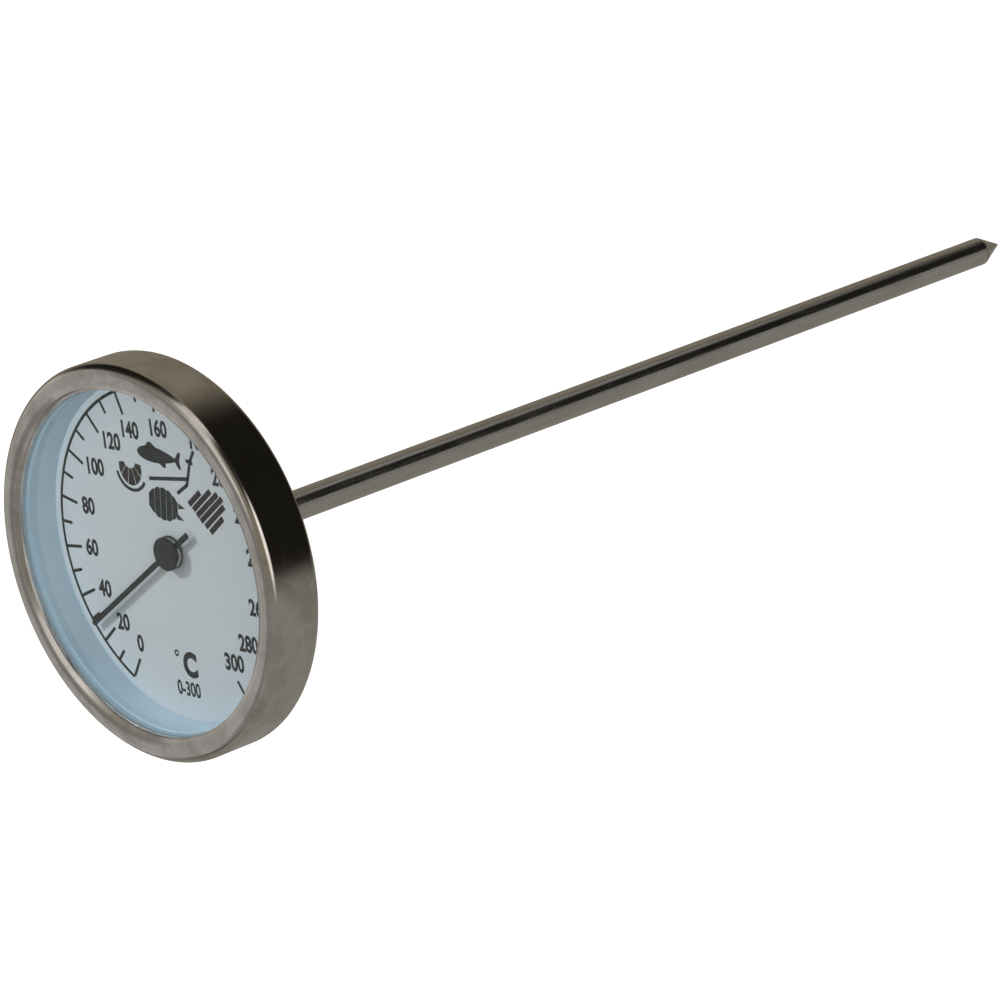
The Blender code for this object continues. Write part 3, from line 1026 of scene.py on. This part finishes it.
# Azimuth and elevation in degrees, how far out it is full, how far out it ends, colour.
UPPER_ZONES = (
    (134, 28, 34, 60, DARK),
    (88, 44, 26, 38, DARK),
    (38, 36, 16, 28, (0.03, 0.028, 0.025)),
    (-72, 40, 17, 31, DARK),
    (-55, 32, 10, 22, DARK),
    (-45, 58, 16, 30, DARK),
    (-17, 6, 7, 14, WINDOW),
    (-14, 25, 7, 14, WINDOW),
    (-6, 42, 7, 14, WINDOW),
    (8, 58, 7, 15, WINDOW),
    (35, 72, 7, 15, WINDOW),
)
LOWER_ZONES = (
    (-50, -16, 20, 36, (0.05, 0.048, 0.042)),
    (64, 7, 14, 29, (1.2, 1.17, 1.13)),
)
# Heights of a unit direction at which the room starts to give way to the table, and has done so.
TABLE_EDGE = -0.10
TABLE_FULL = -0.34


def with_zones(nodes, unit, under, zones):
    """The colour under, with round zones laid over it in order, by their unit directions."""
    for azimuth, elevation, inner, outer, colour in zones:
        facing = nodes.node("ShaderNodeVectorMath", operation="DOT_PRODUCT")
        nodes.link(unit, facing.inputs[0])
        facing.inputs[1].default_value = direction(azimuth, elevation)
        start, end = math.cos(math.radians(outer)), math.cos(math.radians(inner))
        inside = nodes.stepped(facing.outputs["Value"], start, end)
        under = nodes.mixed(inside, under, colour)
    return under


def make_world():
    """A room that the metal mirrors, seen by the camera itself as plain white."""
    world = bpy.data.worlds.new("studio")
    bpy.context.scene.world = world
    world.use_nodes = True
    nodes = Nodes(world.node_tree)
    nodes.tree.nodes.clear()
    coordinates = nodes.node("ShaderNodeTexCoord")
    normalised = nodes.node("ShaderNodeVectorMath", operation="NORMALIZE")
    nodes.link(coordinates.outputs["Generated"], normalised.inputs[0])
    unit = normalised.outputs[0]
    split = nodes.node("ShaderNodeSeparateXYZ")
    nodes.link(unit, split.inputs[0])
    room = with_zones(nodes, unit, ROOM, UPPER_ZONES)
    below = nodes.stepped(split.outputs["Z"], TABLE_EDGE, TABLE_FULL)
    room = with_zones(nodes, unit, nodes.mixed(below, room, TABLE), LOWER_ZONES)
    mirrored = nodes.node("ShaderNodeBackground")
    nodes.link(room, mirrored.inputs["Color"])
    backdrop = nodes.node("ShaderNodeBackground")
    backdrop.inputs["Color"].default_value = (1.0, 1.0, 1.0, 1.0)
    path = nodes.node("ShaderNodeLightPath")
    chosen = nodes.node("ShaderNodeMixShader")
    nodes.link(path.outputs["Is Camera Ray"], chosen.inputs[0])
    nodes.link(mirrored.outputs[0], chosen.inputs[1])
    nodes.link(backdrop.outputs[0], chosen.inputs[2])
    output = nodes.node("ShaderNodeOutputWorld")
    nodes.link(chosen.outputs[0], output.inputs["Surface"])


def make_floor():
    """A pale floor well below the object, so that its shadow stays out of the way."""
    depth = 300
    half = 6000
    bottom = -depth - 5
    bm = bmesh.new()
    prism(bm, [(-half, bottom), (half, bottom), (half, -depth), (-half, -depth)], -half, half)
    look = Look("floor_paint", (0.9, 0.9, 0.9), 0.9)
    mottle = look.noise(look.place(), 0.004, 2.0)
    look.coloured(mottle, (0.9, 0.9, 0.9), (0.92, 0.92, 0.92))
    look.shader.inputs["Emission Color"].default_value = (1.0, 1.0, 1.0, 1.0)
    look.shader.inputs["Emission Strength"].default_value = 1.0
    floor = solid("floor", bm, look.material)
    floor.visible_glossy = False
    floor.visible_diffuse = False


def make_lamp(name, azimuth, elevation, distance, size, watts, aim=(0, 0, 0)):
    """A square soft lamp that faces the object."""
    light = bpy.data.lights.new(name, "AREA")
    light.shape = "SQUARE"
    light.size = size * MM
    light.energy = watts
    lamp = bpy.data.objects.new(name, light)
    bpy.context.scene.collection.objects.link(lamp)
    towards = direction(azimuth, elevation)
    lamp.location = (Vector(aim) + towards * distance) * MM
    lamp.rotation_mode = "QUATERNION"
    lamp.rotation_quaternion = towards.to_track_quat("Z", "Y")
    lamp.visible_glossy = False
    return lamp


def make_lamps():
    """The key lights the whole dial: only the pointer throws a shadow in its light."""
    key = make_lamp("key", -42, 33, 700, 100, 1.95)
    blockers = bpy.data.collections.new("shadow_pieces")
    for name in ("boss", "blade", "bush"):
        blockers.objects.link(bpy.data.objects[name])
    key.light_linking.blocker_collection = blockers
    make_lamp("fill", 52, 30, 900, 500, 0.85)


STEM_PIECES = ("tube", "tip", "collar")
FACE_PIECES = ("bezel",)
BACK_PIECES = ("cup", "washer")
CARD_DISTANCE = 1000
# Name, azimuth, elevation, width, height, watts, the Y that it faces, the pieces that it lights.
CARDS = (
    ("upper stem card", 172, 56, 330, 430, 0.11, 80, STEM_PIECES),
    ("lower stem card", 130, 0, 750, 470, 0.26, 80, STEM_PIECES),
    ("right stem card", 90, 38, 900, 700, 1.7, 80, STEM_PIECES),
    ("left stem card", -90, 38, 900, 700, 1.7, 80, STEM_PIECES),
    ("front face card", -34, -13, 500, 1020, 0.32, 0, FACE_PIECES),
    ("side face card", -66, -13, 650, 1020, 0.78, 0, FACE_PIECES),
    ("upper back card", 180, 50, 2000, 900, 4.2, 0, BACK_PIECES),
    ("lower back card", 180, -14, 2400, 800, 2.0, 0, BACK_PIECES),
)


def make_cards():
    """Grey cards for the metal to mirror, each linked to the pieces that it is for."""
    for name, azimuth, elevation, width, height, watts, aim, pieces in CARDS:
        receivers = bpy.data.collections.new(name)
        for piece in pieces:
            receivers.objects.link(bpy.data.objects[piece])
        card = make_lamp(name, azimuth, elevation, CARD_DISTANCE, width, watts, aim=(0, aim, 0))
        card.data.shape = "RECTANGLE"
        card.data.size_y = height * MM
        card.visible_glossy = True
        card.light_linking.receiver_collection = receivers


CAMERA_PLACE = (514.08, -413.40, 193.69)
CAMERA_AZIMUTH = 47.674
CAMERA_ELEVATION = 16.276
CAMERA_ROLL = 6.692
CAMERA_LENS = 196.73


def make_camera():
    """A long lens in front of the dial, above it and to its right, with a small roll."""
    data = bpy.data.cameras.new("camera")
    data.lens = CAMERA_LENS
    data.sensor_width = 36
    data.clip_start = 0.01
    data.clip_end = 50
    camera = bpy.data.objects.new("camera", data)
    bpy.context.scene.collection.objects.link(camera)
    swing = Matrix.Rotation(math.radians(CAMERA_AZIMUTH), 4, "Z")
    tilt = Matrix.Rotation(math.radians(90 - CAMERA_ELEVATION), 4, "X")
    roll = Matrix.Rotation(math.radians(-CAMERA_ROLL), 4, "Z")
    place = Matrix.Translation(Vector(CAMERA_PLACE) * MM)
    camera.matrix_world = place @ swing @ tilt @ roll
    bpy.context.scene.camera = camera


def make_studio():
    """The room, the floor, the lights and the camera, shown with plain colours."""
    view = bpy.context.scene.view_settings
    view.view_transform = "Standard"
    view.look = "None"
    make_world()
    make_floor()
    make_lamps()
    make_cards()
    make_camera()


def main():
    make_bezel()
    make_gasket()
    make_window()
    make_spacer()
    make_dial()
    make_cup()
    make_washer()
    make_collar()
    make_tube()
    make_tip()
    make_coil()
    finish_carried_nodes()
    make_boss()
    make_blade()
    make_bush()
    make_print()
    make_studio()


main()
